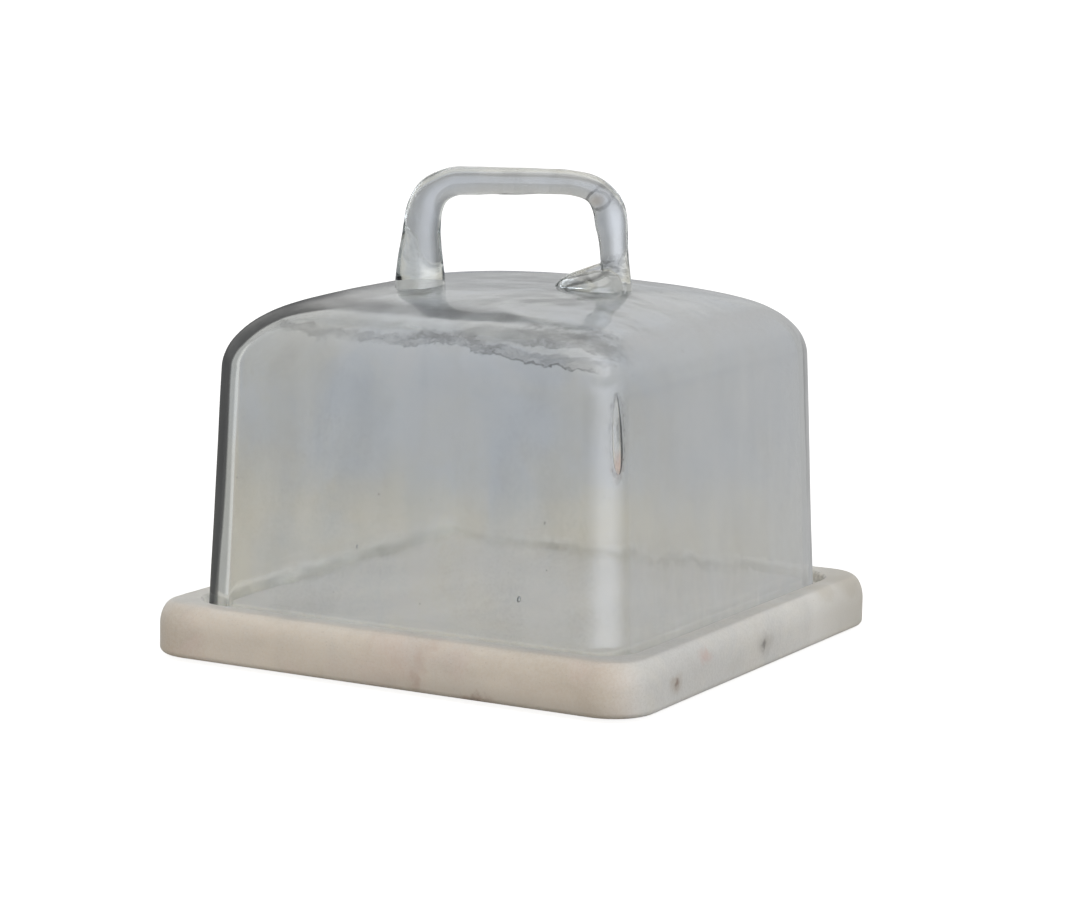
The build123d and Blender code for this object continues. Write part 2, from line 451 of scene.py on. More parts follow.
def tube(name, C, A, B, X, Y, seg, wave=0.0, seed=0.0):
    """A closed tube: centres C, half widths A along X and B along Y (unit vectors per section)."""
    n = len(C)
    ang = np.arange(seg) * 2 * math.pi / seg
    pts = []
    for k in range(n):
        for q in ang:
            p = C[k] + X[k] * A[k] * math.cos(q) + Y[k] * B[k] * math.sin(q)
            if wave:
                d = p - C[k]
                ln = np.linalg.norm(d)
                p = p + d / max(ln, 1e-9) * wave * (
                    noise.noise(Vector((p[0] / 11 + seed, p[1] / 11, p[2] / 11)))
                    + 0.45 * noise.noise(Vector((p[0] / 4.5, p[1] / 4.5 + seed, p[2] / 4.5))))
            pts.append(p)
    faces = []
    for k in range(n - 1):
        for i in range(seg):
            j = (i + 1) % seg
            faces.append((k * seg + i, k * seg + j, (k + 1) * seg + j, (k + 1) * seg + i))
    a, b = len(pts), len(pts) + 1
    pts += [C[0], C[-1]]
    for i in range(seg):
        j = (i + 1) % seg
        faces.append((a, j, i))
        faces.append((b, (n - 1) * seg + i, (n - 1) * seg + j))
    ob = build(name, np.array(pts), faces)
    bm = bmesh.new()
    bm.from_mesh(ob.data)
    bmesh.ops.recalc_face_normals(bm, faces=bm.faces)
    bm.to_mesh(ob.data)
    bm.free()
    return ob


def frames(U, V, Z):
    C = np.array([world(u, v, z) for u, v, z in zip(U, V, Z)])
    T = np.gradient(C, axis=0)
    T /= np.linalg.norm(T, axis=1)[:, None]
    Y = np.array([ev - t * (ev @ t) for t in T])
    Y /= np.linalg.norm(Y, axis=1)[:, None]
    X = np.cross(Y, T)
    return C, X, Y


S = catmull(STRAP, 250)
for _ in range(5):
    S[1:-1] = (S[:-2] + 2 * S[1:-1] + S[2:]) / 4
C, X, Y = frames(S[:, 0], S[:, 4], S[:, 1])
strap = tube("glass_handle_body", C, S[:, 2], S[:, 3], X, Y, 72, 0.22, 2.0)

# pressed toe of the second foot: u, across, centre height, half width, height
TOE = [
    (37.4, -3.0, 131.4, 2.4, 1.8),
    (36.4, -3.2, 131.6, 5.6, 4.2),
    (33.0, -4.6, 131.8, 9.2, 6.6),
    (28.5, -5.6, 132.1, 10.7, 6.3),
    (23.5, -5.9, 132.3, 9.9, 5.1),
    (19.0, -6.0, 132.4, 8.0, 3.9),
    (15.5, -6.2, 132.5, 5.4, 2.7),
    (13.6, -6.4, 132.6, 2.8, 1.4),
    (12.9, -6.4, 132.6, 0.7, 0.5),
]
A = catmull([(r[0], r[1], r[2], r[3], r[4]) for r in TOE], 80)
n_t, seg = len(A), 64
pts, faces = [], []
for u, v, z, w, h in A:
    w, h = max(w, 0.25), max(h, 0.2)
    for i in range(seg):
        q = 2 * math.pi * i / seg
        c_, s_ = math.cos(q), math.sin(q)
        lift = h * s_ if s_ > 0 else 4.0 * s_
        # a slight dish on the near flank where the tool pressed it
        dish = -0.5 * math.exp(-((q - 2.5) / 0.5) ** 2) * min(1.0, h / 4)
        pts.append(world(u, v + w * c_, z + lift + dish))
for k in range(n_t - 1):
    for i in range(seg):
        j = (i + 1) % seg
        faces.append((k * seg + i, k * seg + j, (k + 1) * seg + j, (k + 1) * seg + i))
pts += [world(A[0][0], A[0][1], A[0][2]), world(A[-1][0], A[-1][1], A[-1][2])]
for i in range(seg):
    j = (i + 1) % seg
    faces.append((n_t * seg, j, i))
    faces.append((n_t * seg + 1, (n_t - 1) * seg + i, (n_t - 1) * seg + j))
toe = outward(build("toe", np.array(pts), faces))

# rolled fold along the toe's far edge: u, height, half thickness, across
FOLD = [
    (31.8, 140.4, 1.5, -2.4), (28.8, 139.5, 1.6, -2.8), (25.6, 138.4, 1.6, -3.2), (22.0, 137.2, 1.55, -3.8),
    (18.6, 136.0, 1.5, -4.4), (15.6, 134.6, 1.4, -5.2), (13.6, 133.0, 1.3, -6.0), (12.9, 131.4, 1.1, -6.4),
]
S = catmull(FOLD, 50)
C, X, Y = frames(S[:, 0], S[:, 3], S[:, 1])
fold = tube("fold", C, S[:, 2], S[:, 2] * 1.25, X, Y, 28, 0.08, 5.0)


def combine(base, others):
    """Overlapping closed bodies made one, the last one cut away; faces keep a mark of the body they came from."""
    for k, o in enumerate([base] + others):
        o.data.materials.clear()
        for m in marks:
            o.data.materials.append(m)
        o.data.polygons.foreach_set("material_index", np.full(len(o.data.polygons), k, np.int32))
    for o in others:
        m = base.modifiers.new("join", "BOOLEAN")
        m.operation = "DIFFERENCE" if o is others[-1] else "UNION"
        m.object = o
        m.solver = "MANIFOLD"
        dg = bpy.context.evaluated_depsgraph_get()
        me = bpy.data.meshes.new_from_object(base.evaluated_get(dg))
        base.modifiers.clear()
        base.data = me
        bpy.data.objects.remove(o)


marks = [bpy.data.materials.new("mark%d" % i) for i in range(4)]
combine(strap, [toe, fold, cutter])


def relax(bm, seam, reach, rounds):
    """Soften a crease: the mesh is relaxed within a short reach of the seam, most at the seam itself."""
    dist = {i: 0.0 for i in seam}
    heap = [(0.0, i) for i in seam]
    heapq.heapify(heap)
    while heap:
        d, i = heapq.heappop(heap)
        if d > dist.get(i, 1e9):
            continue
        for e in bm.verts[i].link_edges:
            o = e.other_vert(bm.verts[i])
            nd = d + e.calc_length()
            if nd < reach and nd < dist.get(o.index, 1e9):
                dist[o.index] = nd
                heapq.heappush(heap, (nd, o.index))
    near = [(bm.verts[i], 1.0 - (d / reach) ** 2) for i, d in dist.items()]
    for _ in range(rounds):
        moved = []
        for v, w in near:
            tot, acc = 0.0, Vector((0, 0, 0))
            for e in v.link_edges:
                ln = max(e.calc_length(), 1e-5)
                acc += e.other_vert(v).co * ln
                tot += ln
            moved.append((v, v.co.lerp(acc / tot, 0.5 * w)))
        for v, c in moved:
            v.co = c


bm = bmesh.new()
bm.from_mesh(strap.data)
bmesh.ops.remove_doubles(bm, verts=bm.verts, dist=2e-6)
bmesh.ops.triangulate(bm, faces=[f for f in bm.faces if len(f.verts) > 4])
bm.verts.ensure_lookup_table()
seam, sole = set(), []
for e in bm.edges:
    fs = e.link_faces
    if len(fs) == 2 and fs[0].material_index != fs[1].material_index:
        if 3 in (fs[0].material_index, fs[1].material_index):
            sole.append(e)
        else:
            seam.update(v.index for v in e.verts)
sole_v = {v.index for e in sole for v in e.verts}
print("handle verts", len(bm.verts), "seam", len(seam), "sole", len(sole), "open", sum(not e.is_manifold for e in bm.edges))
relax(bm, seam - sole_v, 0.0010, 5)
for f in bm.faces:
    f.material_index = 0
    f.smooth = True
for e in sole:
    e.smooth = False
bm.to_mesh(strap.data)
bm.free()
handle = strap
handle.data.materials.clear()
handle.data.update()

# ------------------------------------------------------------------ stone board
stone = Skin()
MB = 52
top_rows = []
for k in range(1, MB + 1):
    s = 76.9 * k / MB
    top_rows.append((s, 17.8, max(5.0 * s / 77.0, 0.02)))
last = stone.cap(top_rows, 17.8, 1)
path = []                                   # (s, z, corner radius), outwards


def arc(cs, cz, rs, rz, a0, a1, n, rad):
    for i in range(n + 1):
        a = math.radians(a0 + (a1 - a0) * i / n)
        s_, z_ = cs + rs * math.cos(a), cz + rz * math.sin(a)
        path.append((s_, z_, rad(s_)))


def mix_r(s0, r0, s1, r1):
    return lambda s: r0 + (r1 - r0) * min(1.0, max(0.0, (s - s0) / (s1 - s0)))


arc(77.0, 16.8, 1.0, 1.0, 90, 0, 5, mix_r(77, 5.1, 78, 6.0))
path.append((78.0, 15.7, 6.0))
arc(78.9, 15.4, 0.9, 0.9, 180, 270, 5, mix_r(78, 6.0, 79, 6.9))
for s in (80.5, 82.2, 83.9, 85.6):
    path.append((s, 14.5, mix_r(79, 6.9, 87, 14.0)(s)))
arc(87.1, 15.4, 0.9, 0.9, 270, 360, 5, mix_r(87, 14.0, 88, 15.0))
path.append((88.0, 16.4, 15.0))
arc(89.6, 17.3, 1.6, 1.6, 180, 90, 7, mix_r(88, 15.0, 90, 16.6))
for s in (90.6, 91.9, 93.2, 94.3):
    path.append((s, 18.9, mix_r(90, 16.6, 95, 12.0)(s)))
arc(95.0, 9.9, 5.0, 9.0, 90, 0, 16, lambda s: s - 83.0)
for z in (8.4, 6.9, 5.4, 3.8):
    path.append((100.0, z, 17.0))
arc(97.8, 2.2, 2.2, 2.2, 0, -90, 7, lambda s: s - 83.0)
clean = [path[0]]
for q in path[1:]:
    if math.hypot(q[0] - clean[-1][0], q[1] - clean[-1][1]) > 0.05:
        clean.append(q)
path = clean
pn = slopes([(top_rows[-1][0], 17.8)] + [(a, b) for a, b, c in path] + [(96.0, 0.0)])
ids = [last]
for (s, z, r), n_ in zip(path, pn[1:-1]):
    ids.append(stone.ring(s, r, z, n_, MB))
under = []
for k in range(1, MB + 1):
    s = 96.3 * k / MB
    under.append((s, 0.0, max(13.5 * s / 96.3, 0.02)))
cap_start = stone.n
last_u = stone.cap(under, 0.0, -1)
ids.append(last_u)
for a, b in zip(ids, ids[1:]):
    stone.strip(a, b, 8 * MB)
P, Nn = stone.arrays()
Nn[cap_start:] *= -1.0
d = np.zeros(len(P))
for i, p in enumerate(P):
    if i >= cap_start:
        continue
    outer_side = 1.0 if max(abs(p[0]), abs(p[1])) > 90 else 0.35
    v = 0.16 * nz(p, (42, 42, 30), 21.0) + 0.06 * nz(p, (13, 13, 9), 17.0) + 0.02 * nz(p, (4.5, 4.5, 4.5), 14.0)
    if p[2] < 1.0:
        v *= p[2]
    if 78.5 < max(abs(p[0]), abs(p[1])) < 87.5:
        v = -abs(v) * 0.3                     # tool marks only deepen the channel
    d[i] = v * outer_side
P = P + Nn * d[:, None]
P[:, 2] += PAD
board = build("marble_slab", P, stone.F)
bm = bmesh.new()
bm.from_mesh(board.data)
bmesh.ops.recalc_face_normals(bm, faces=bm.faces)
bm.to_mesh(board.data)
bm.free()

# ------------------------------------------------------------------ pads
pads = []
for name in ("foot_pad_front_left", "foot_pad_front_right", "foot_pad_back_left", "foot_pad_back_right"):
    lo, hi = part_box(name)
    cx, cy = (lo.x + hi.x) / 2 / MM, (lo.y + hi.y) / 2 / MM
    R, H = 6.0, PAD
    prof = [(0.0, 0.0), (2.6, 0.0), (4.4, 0.02), (5.2, 0.14), (5.7, 0.42), (5.95, 0.85), (6.0, 1.2), (5.97, H - 0.05), (5.8, H), (0.0, H)]
    seg = 40
    pts, faces = [(cx, cy, 0.0)], []
    for s, z in prof[1:-1]:
        for i in range(seg):
            a = 2 * math.pi * i / seg
            pts.append((cx + s * math.cos(a), cy + s * math.sin(a), z))
    pts.append((cx, cy, H))
    nr = len(prof) - 2
    for i in range(seg):
        j = (i + 1) % seg
        faces.append((0, 1 + j, 1 + i))
        for k in range(nr - 1):
            faces.append((1 + k * seg + i, 1 + k * seg + j, 1 + (k + 1) * seg + j, 1 + (k + 1) * seg + i))
        faces.append((len(pts) - 1, 1 + (nr - 1) * seg + i, 1 + (nr - 1) * seg + j))
    o = build("bumper_" + name[9:], np.array(pts), faces)
    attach(o, "board")
    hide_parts(name)
    pads.append(o)

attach(board, "board")
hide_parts("marble_board")
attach(cover, "cover")
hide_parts("glass_dome")
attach(handle, "cover")
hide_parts("glass_handle")


# ------------------------------------------------------------------ materials
class Tree:
    def __init__(self, name, world=False):
        if world:
            self.owner = bpy.data.worlds.new(name)
        else:
            self.owner = bpy.data.materials.new(name)
        self.owner.use_nodes = True
        self.nt = self.owner.node_tree
        self.nt.nodes.clear()

    def n(self, kind, inputs=None, **props):
        node = self.nt.nodes.new(kind)
        for k, v in props.items():
            setattr(node, k, v)
        for k, v in (inputs or {}).items():
            self.put(node.inputs[k], v)
        return node

    def put(self, sock, v):
        if isinstance(v, bpy.types.NodeSocket):
            self.nt.links.new(v, sock)
        elif v is not None:
            sock.default_value = v

    def math(self, op, a, b=None, c=None, clamp=False):
        node = self.n("ShaderNodeMath", operation=op, use_clamp=clamp)
        self.put(node.inputs[0], a)
        if b is not None:
            self.put(node.inputs[1], b)
        if c is not None:
            self.put(node.inputs[2], c)
        return node.outputs[0]

    def vmath(self, op, a, b=None, out=0):
        node = self.n("ShaderNodeVectorMath", operation=op)
        self.put(node.inputs[0], a)
        if b is not None:
            self.put(node.inputs[1], b)
        return node.outputs[out]

    def noise(self, vec, scale, detail=3.0, rough=0.5, dist=0.0, color=False):
        node = self.n("ShaderNodeTexNoise", {"Vector": vec, "Scale": scale, "Detail": detail, "Roughness": rough, "Distortion": dist})
        return node.outputs["Color" if color else "Fac"]

    def remap(self, v, a, b, c=0.0, d=1.0, smoothstep=True):
        node = self.n("ShaderNodeMapRange", {"Value": v, "From Min": a, "From Max": b, "To Min": c, "To Max": d},
                      interpolation_type="SMOOTHSTEP" if smoothstep else "LINEAR")
        return node.outputs[0]

    def mix(self, f, a, b, kind="MIX"):
        node = self.n("ShaderNodeMix", data_type="RGBA", blend_type=kind)
        self.put(node.inputs[0], f)
        self.put(node.inputs[6], a)
        self.put(node.inputs[7], b)
        return node.outputs[2]

    def xyz(self, v):
        node = self.n("ShaderNodeSeparateXYZ", {0: v})
        return node.outputs


def lin(r, g, b):
    f = lambda c: (c / 255 / 12.92) if c / 255 <= 0.04045 else ((c / 255 + 0.055) / 1.055) ** 2.4
    return (f(r), f(g), f(b), 1.0)


AWAY = (-0.48737, 0.87320, 0.0)       # level direction the camera looks along
RGT = (0.87320, 0.48737, 0.0)         # level direction to its right


# ---- glass
def glass_material(name, haze, on_dome):
    g = Tree(name)
    tc = g.n("ShaderNodeTexCoord").outputs["Object"]
    x, y, z = g.xyz(tc)[0:3]
    # pulled, slightly rippled surface
    flat_v = g.n("ShaderNodeMapping", {"Vector": tc, "Scale": (1.0, 1.0, 0.22)}).outputs[0]
    pull = g.noise(flat_v, 130.0, 2.0, 0.45)
    orange = g.noise(tc, 300.0, 2.0, 0.5)
    broad = g.noise(tc, 42.0, 2.0, 0.5, 0.4)
    height = g.math("ADD", g.math("MULTIPLY", pull, 0.055 if on_dome else 0.03), g.math("MULTIPLY", orange, 0.010))
    height = g.math("ADD", height, g.math("MULTIPLY", broad, 0.16 if on_dome else 0.05))
    # faint tone in the metal: soft upright bands and clouds, never more than a few percent
    bands = g.n("ShaderNodeMapping", {"Vector": tc, "Scale": (1.0, 1.0, 0.16)}).outputs[0]
    band = g.noise(bands, 45.0, 3.0, 0.55, 0.5)
    cloud = g.noise(tc, 34.0, 4.0, 0.6, 0.5)
    speck = g.noise(tc, 900.0, 3.0, 0.75)
    tone = g.math("ADD", g.remap(band, 0.35, 0.68, -0.034, 0.034), g.remap(cloud, 0.35, 0.68, -0.034, 0.034))
    tone = g.math("ADD", tone, g.remap(speck, 0.3, 0.7, -0.04, 0.04))
    warmth = g.noise(tc, 22.0, 3.0, 0.6, 0.8)
    base = g.mix(g.remap(warmth, 0.38, 0.62), (0.966, 0.982, 1.0, 1), (0.998, 0.985, 0.948, 1))
    if on_dome:
        w1 = g.vmath("SUBTRACT", g.noise(tc, 90.0, 4.0, 0.6, 0.0, True), (0.5, 0.5, 0.5))
        w2 = g.n("ShaderNodeVectorMath", {0: w1}, operation="SCALE")
        w2.inputs["Scale"].default_value = 0.007
        q = g.vmath("ADD", tc, w2.outputs[0])
        w3 = g.vmath("SUBTRACT", g.noise(tc, 420.0, 3.0, 0.65, 0.0, True), (0.5, 0.5, 0.5))
        w4 = g.n("ShaderNodeVectorMath", {0: w3}, operation="SCALE")
        w4.inputs["Scale"].default_value = 0.0028
        q = g.vmath("ADD", q, w4.outputs[0])
        qx, qy, qz = g.xyz(q)[0:3]
        drawn = g.n("ShaderNodeMapping", {"Vector": q, "Scale": (0.35, 0.35, 1.6)}).outputs[0]
        # painted shade along the two folds on the shoulder, standing in for how the folds bend the light; it is kept
        # weaker for rays that do not come from the camera
        painted_shade = None
        for fold, wid, amt, hot, rest in ((FOLD_A + (0, 0.7), 0.0014, 0.92, 2, 0.58), (FOLD_B + (0, 0.4), 0.0014, 0.82, 42, 0.38)):
            ramp = g.n("ShaderNodeFloatCurve", {"Value": g.remap(qx, fold[0, 0] * MM, fold[-1, 0] * MM, 0.0, 1.0, False)})
            cv = ramp.mapping.curves[0]
            lo_z, hi_z = 110.0, 126.0
            pts_ = [((a_ - fold[0, 0]) / (fold[-1, 0] - fold[0, 0]), (b_ - lo_z) / (hi_z - lo_z)) for a_, b_ in fold]
            cv.points[0].location = pts_[0]
            cv.points[1].location = pts_[-1]
            for p_ in pts_[1:-1]:
                cv.points.new(*p_)
            ramp.mapping.update()
            zc_ = g.remap(ramp.outputs[0], 0.0, 1.0, (lo_z + PAD) * MM, (hi_z + PAD) * MM, False)
            off = g.math("DIVIDE", g.math("SUBTRACT", qz, zc_), wid)
            heavy = g.math("MULTIPLY", g.remap(qx, (hot - 14) * MM, hot * MM), g.remap(qx, (hot + 38) * MM, (hot + 26) * MM))
            body = g.math("MULTIPLY", g.remap(g.math("ABSOLUTE", g.math("ADD", off, -0.25)), g.remap(heavy, 0.0, 1.0, 1.5, 2.1, False), 0.7, 0.0, amt), g.remap(heavy, 0.0, 1.0, rest, 0.92, False))
            keel = g.remap(g.math("ABSOLUTE", g.math("ADD", off, 1.0)), 0.50, 0.12, 0.0, amt * 0.90)
            keel = g.math("MULTIPLY", keel, g.remap(qx, (hot - 24) * MM, (hot + 4) * MM, 0.25, 1.0))
            brow = g.remap(g.math("ABSOLUTE", g.math("SUBTRACT", off, 0.95)), 0.40, 0.10, 0.0, amt * 0.45)
            f_ = g.math("MAXIMUM", body, g.math("MAXIMUM", keel, brow))
            f_ = g.math("MULTIPLY", f_, g.remap(qx, fold[0, 0] * MM, (fold[0, 0] + 12) * MM))
            f_ = g.math("MULTIPLY", f_, g.remap(qx, fold[-1, 0] * MM, (fold[-1, 0] - 6) * MM))
            f_ = g.math("MULTIPLY", f_, g.remap(qy, -0.050, -0.058))
            f_ = g.math("MULTIPLY", f_, g.remap(g.noise(drawn, 300.0, 4.0, 0.7), 0.34, 0.60, 0.50, 1.0))
            painted_shade = f_ if painted_shade is None else g.math("MAXIMUM", painted_shade, f_)
        # the tear in the near corner: painted shade in a wavering outline with a darker heart, standing in for how the
        # tear bends the light
        tq = g.vmath("ADD", tc, w4.outputs[0])
        ta = g.math("SUBTRACT", g.vmath("DOT_PRODUCT", tq, (0.742, 0.670, 0.0), 1), (78.75 * 0.742 - 75.0 * 0.670) * MM)
        tb = g.math("DIVIDE", g.math("SUBTRACT", g.xyz(tq)[2], (92.0 + PAD) * MM), 16.0 * MM)
        ta = g.math("ADD", g.math("DIVIDE", ta, 3.1 * MM), g.math("MULTIPLY", tb, 0.12))
        tl = g.math("SQRT", g.math("ADD", g.math("MULTIPLY", ta, ta), g.math("MULTIPLY", tb, tb)))
        rim_ = g.remap(g.math("ABSOLUTE", g.math("SUBTRACT", tl, 0.88)), 0.17, 0.05, 0.0, 0.42)
        rim_ = g.math("MULTIPLY", rim_, g.remap(g.noise(drawn, 300.0, 4.0, 0.7), 0.34, 0.60, 0.40, 1.0))
        ha = g.math("DIVIDE", g.math("SUBTRACT", ta, 0.28), 0.48)
        hb = g.math("DIVIDE", g.math("SUBTRACT", tb, 0.16), 0.42)
        heart = g.remap(g.math("SQRT", g.math("ADD", g.math("MULTIPLY", ha, ha), g.math("MULTIPLY", hb, hb))), 1.0, 0.4, 0.0, 0.42)
        near_ = g.math("MULTIPLY", g.remap(qx, 0.060, 0.066), g.remap(qy, -0.055, -0.061))
        painted_shade = g.math("MAXIMUM", painted_shade, g.math("MULTIPLY", near_, g.math("MAXIMUM", rim_, heart)))
        painted_shade = g.math("MULTIPLY", painted_shade, g.remap(g.n("ShaderNodeLightPath").outputs["Is Camera Ray"], 0.0, 1.0, 0.30, 1.0, False))
        tone = g.math("SUBTRACT", tone, painted_shade)
        # a breath of pink below the tear in the corner
        m = g.n("ShaderNodeMapping", {"Vector": q, "Location": (-80.0 / 3.4, 76.5 / 3.4, -(82.5 + PAD) / 7.5),
                                      "Scale": (1000 / 3.4, 1000 / 3.4, 1000 / 7.5)}).outputs[0]
        base = g.mix(g.remap(g.vmath("LENGTH", m, None, 1), 1.0, 0.1, 0.0, 0.75), base, (0.90, 0.66, 0.60, 1))
    hsv = g.n("ShaderNodeHueSaturation", {"Value": g.math("ADD", 1.0, tone), "Color": base})
    paint = hsv.outputs[0]
    if on_dome:
        # painted shade: the edge of the wall that faces the dark side of the set, as it is seen through its own
        # thickness, is given a near-black colour for camera rays
        gm = g.n("ShaderNodeNewGeometry")
        side = g.vmath("DOT_PRODUCT", gm.outputs["Normal"], RGT, 1)
        graze = g.math("ABSOLUTE", g.vmath("DOT_PRODUCT", gm.outputs["Normal"], gm.outputs["Incoming"], 1))
        level = g.math("SQRT", g.math("MAXIMUM", g.math("SUBTRACT", 1.0, g.math("MULTIPLY", graze, graze)), 0.01))
        side = g.math("DIVIDE", side, level)
        wide = g.math("MULTIPLY", g.remap(side, -0.12, -0.80, 0.36, 0.68), g.remap(z, 0.022, 0.070, 0.88, 1.0))
        f_ = g.remap(g.math("SUBTRACT", graze, wide), 0.07, 0.0)
        f_ = g.math("MULTIPLY", f_, g.remap(side, -0.06, -0.26, 0.0, 1.0))
        f_ = g.math("MULTIPLY", f_, g.remap(z, 0.012, 0.060, 0.72, 1.0))
        f_ = g.math("MULTIPLY", f_, g.remap(g.vmath("DOT_PRODUCT", gm.outputs["Incoming"], AWAY, 1), -0.78, -0.94))
        f_ = g.math("MULTIPLY", f_, g.n("ShaderNodeLightPath").outputs["Is Camera Ray"])
        f_ = g.math("MULTIPLY", f_, g.remap(g.noise(bands, 150.0, 3.0, 0.6), 0.3, 0.7, 0.93, 1.0))
        paint = g.mix(f_, paint, (0.020, 0.020, 0.021, 1))
        # painted highlight: the opposite edge faces the lamps and is given a soft pale grey glow instead
        front = g.math("MULTIPLY", g.n("ShaderNodeLightPath").outputs["Is Camera Ray"],
                       g.remap(g.vmath("DOT_PRODUCT", gm.outputs["Incoming"], AWAY, 1), -0.78, -0.94))
        pale = g.math("MULTIPLY", g.remap(graze, 0.52, 0.36), g.math("MULTIPLY", g.remap(side, 0.30, 0.60), front))
        pale = g.math("MULTIPLY", pale, g.remap(g.noise(bands, 150.0, 3.0, 0.6), 0.3, 0.7, 0.74, 0.96))
        # a glow laid over the glass on both edges: dark on the shaded edge, pale grey on the lit edge
        painted_edge_glow = g.n("ShaderNodeEmission", {"Color": g.mix(g.math("GREATER_THAN", side, 0.0), g.mix(g.noise(bands, 90.0, 3.0, 0.6), (0.040, 0.041, 0.042, 1), (0.120, 0.122, 0.122, 1)), (0.450, 0.456, 0.458, 1)),
                                         "Strength": 1.0})
        painted_edge_amount = g.math("MAXIMUM", g.math("MULTIPLY", f_, 0.84), pale)
    coat = 0.0
    if not on_dome:
        # painted shade along the creases where the foot was folded over and squeezed and round a lap in the bend,
        # standing in for how these folds bend the light; a warm tint inside the lap, and a coat on the second leg only,
        # laid there to add a highlight
        hu = g.math("SUBTRACT", g.vmath("DOT_PRODUCT", tc, tuple(eu), 1), float(root @ eu) * MM)
        wob_ = g.math("MULTIPLY", g.math("SUBTRACT", g.noise(tc, 320.0, 3.0, 0.6), 0.5), 0.0022)
        hz = g.math("ADD", g.math("SUBTRACT", z, PAD * MM), wob_)
        ramp = g.n("ShaderNodeFloatCurve", {"Value": g.remap(hu, 0.0128, 0.0320, 0.0, 1.0, False)})
        cv = ramp.mapping.curves[0]
        line = sorted((r_[0], r_[1]) for r_ in FOLD)
        pts_ = [((a_ - 12.8) / (32.0 - 12.8), (b_ - 130.0) / 12.0) for a_, b_ in line]
        cv.points[0].location = pts_[0]
        cv.points[1].location = pts_[-1]
        for p_ in pts_[1:-1]:
            cv.points.new(*p_)
        ramp.mapping.update()
        dz = g.math("SUBTRACT", hz, g.remap(ramp.outputs[0], 0.0, 1.0, 0.130, 0.142, False))
        run = g.math("MULTIPLY", g.remap(hu, 0.0120, 0.0135), g.remap(hu, 0.0325, 0.0305))
        crease = g.remap(g.math("ABSOLUTE", g.math("ADD", dz, 0.0019)), 0.00075, 0.00025, 0.0, 0.90)
        crease2 = g.remap(g.math("ABSOLUTE", g.math("ADD", dz, -0.0002)), 0.00045, 0.00012, 0.0, 0.62)
        f_ = g.math("MULTIPLY", run, g.math("MAXIMUM", crease, crease2))
        squeezed = g.math("MULTIPLY", g.remap(hu, 0.0275, 0.0300), g.math("MULTIPLY", g.remap(hz, 0.1345, 0.1370), g.remap(hz, 0.1440, 0.1405)))
        f_ = g.math("MAXIMUM", f_, g.math("MULTIPLY", squeezed, g.remap(g.noise(tc, 420.0, 3.0, 0.65, 1.0), 0.44, 0.60, 0.0, 0.72)))
        lap = g.n("ShaderNodeCombineXYZ", {0: g.math("DIVIDE", g.math("SUBTRACT", hu, 0.0272), 0.0042),
                                           2: g.math("DIVIDE", g.math("SUBTRACT", hz, 0.1636), 0.0034)}).outputs[0]
        lap = g.vmath("LENGTH", lap, None, 1)
        f_ = g.math("MAXIMUM", f_, g.remap(g.math("ABSOLUTE", g.math("SUBTRACT", lap, 0.95)), 0.20, 0.06, 0.0, 0.60))
        base = g.mix(g.remap(lap, 0.85, 0.2, 0.0, 0.75), base, (0.86, 0.78, 0.70, 1))
        tone = g.math("SUBTRACT", tone, g.math("MULTIPLY", f_, 0.85))
        g.put(hsv.inputs["Value"], g.math("ADD", 1.0, tone))
        g.put(hsv.inputs["Color"], base)
        coat = g.math("MULTIPLY", g.remap(hu, 0.0255, 0.0310), g.math("MULTIPLY", g.remap(hz, 0.1400, 0.1470), g.remap(hz, 0.1640, 0.1580)))
    bump = g.n("ShaderNodeBump", {"Strength": 1.0, "Distance": 0.001, "Height": height})
    rough_ = g.remap(g.noise(tc, 60.0, 3.0), 0.3, 0.7, haze * 0.7, haze * 1.3)
    # the lamps stand before the object, so its far side is kept from mirroring them at a glancing angle
    rear = g.vmath("DOT_PRODUCT", g.n("ShaderNodeNewGeometry").outputs["Incoming"], AWAY, 1)
    rear = g.math("MULTIPLY", g.remap(rear, -0.35, 0.25, 0.0, 0.45), g.n("ShaderNodeLightPath").outputs["Is Camera Ray"])
    pr = g.n("ShaderNodeBsdfPrincipled", {
        "Base Color": paint, "Roughness": rough_, "IOR": 1.5, "Transmission Weight": 1.0, "Normal": bump.outputs[0],
        "Specular IOR Level": g.math("SUBTRACT", 0.5, rear), "Coat Weight": coat, "Coat Roughness": 0.12})
    lp = g.n("ShaderNodeLightPath")
    thru = g.n("ShaderNodeBsdfTransparent", {"Color": (1.0, 1.0, 1.0, 1.0)})
    fac = g.math("MAXIMUM", lp.outputs["Is Shadow Ray"], lp.outputs["Is Diffuse Ray"])
    glass = pr.outputs[0]
    if on_dome:
        glass = g.n("ShaderNodeMixShader", {0: painted_edge_amount, 1: glass, 2: painted_edge_glow.outputs[0]}).outputs[0]
    mixs = g.n("ShaderNodeMixShader", {0: fac, 1: glass, 2: thru.outputs[0]})
    vol = g.n("ShaderNodeVolumeAbsorption", {"Color": (0.80, 0.86, 0.86, 1.0), "Density": 22.0})
    g.n("ShaderNodeOutputMaterial", {"Surface": mixs.outputs[0], "Volume": vol.outputs[0]})
    return g.owner


cover.data.materials.append(glass_material("dome_glass", 0.095, True))
handle.data.materials.append(glass_material("handle_glass", 0.035, False))

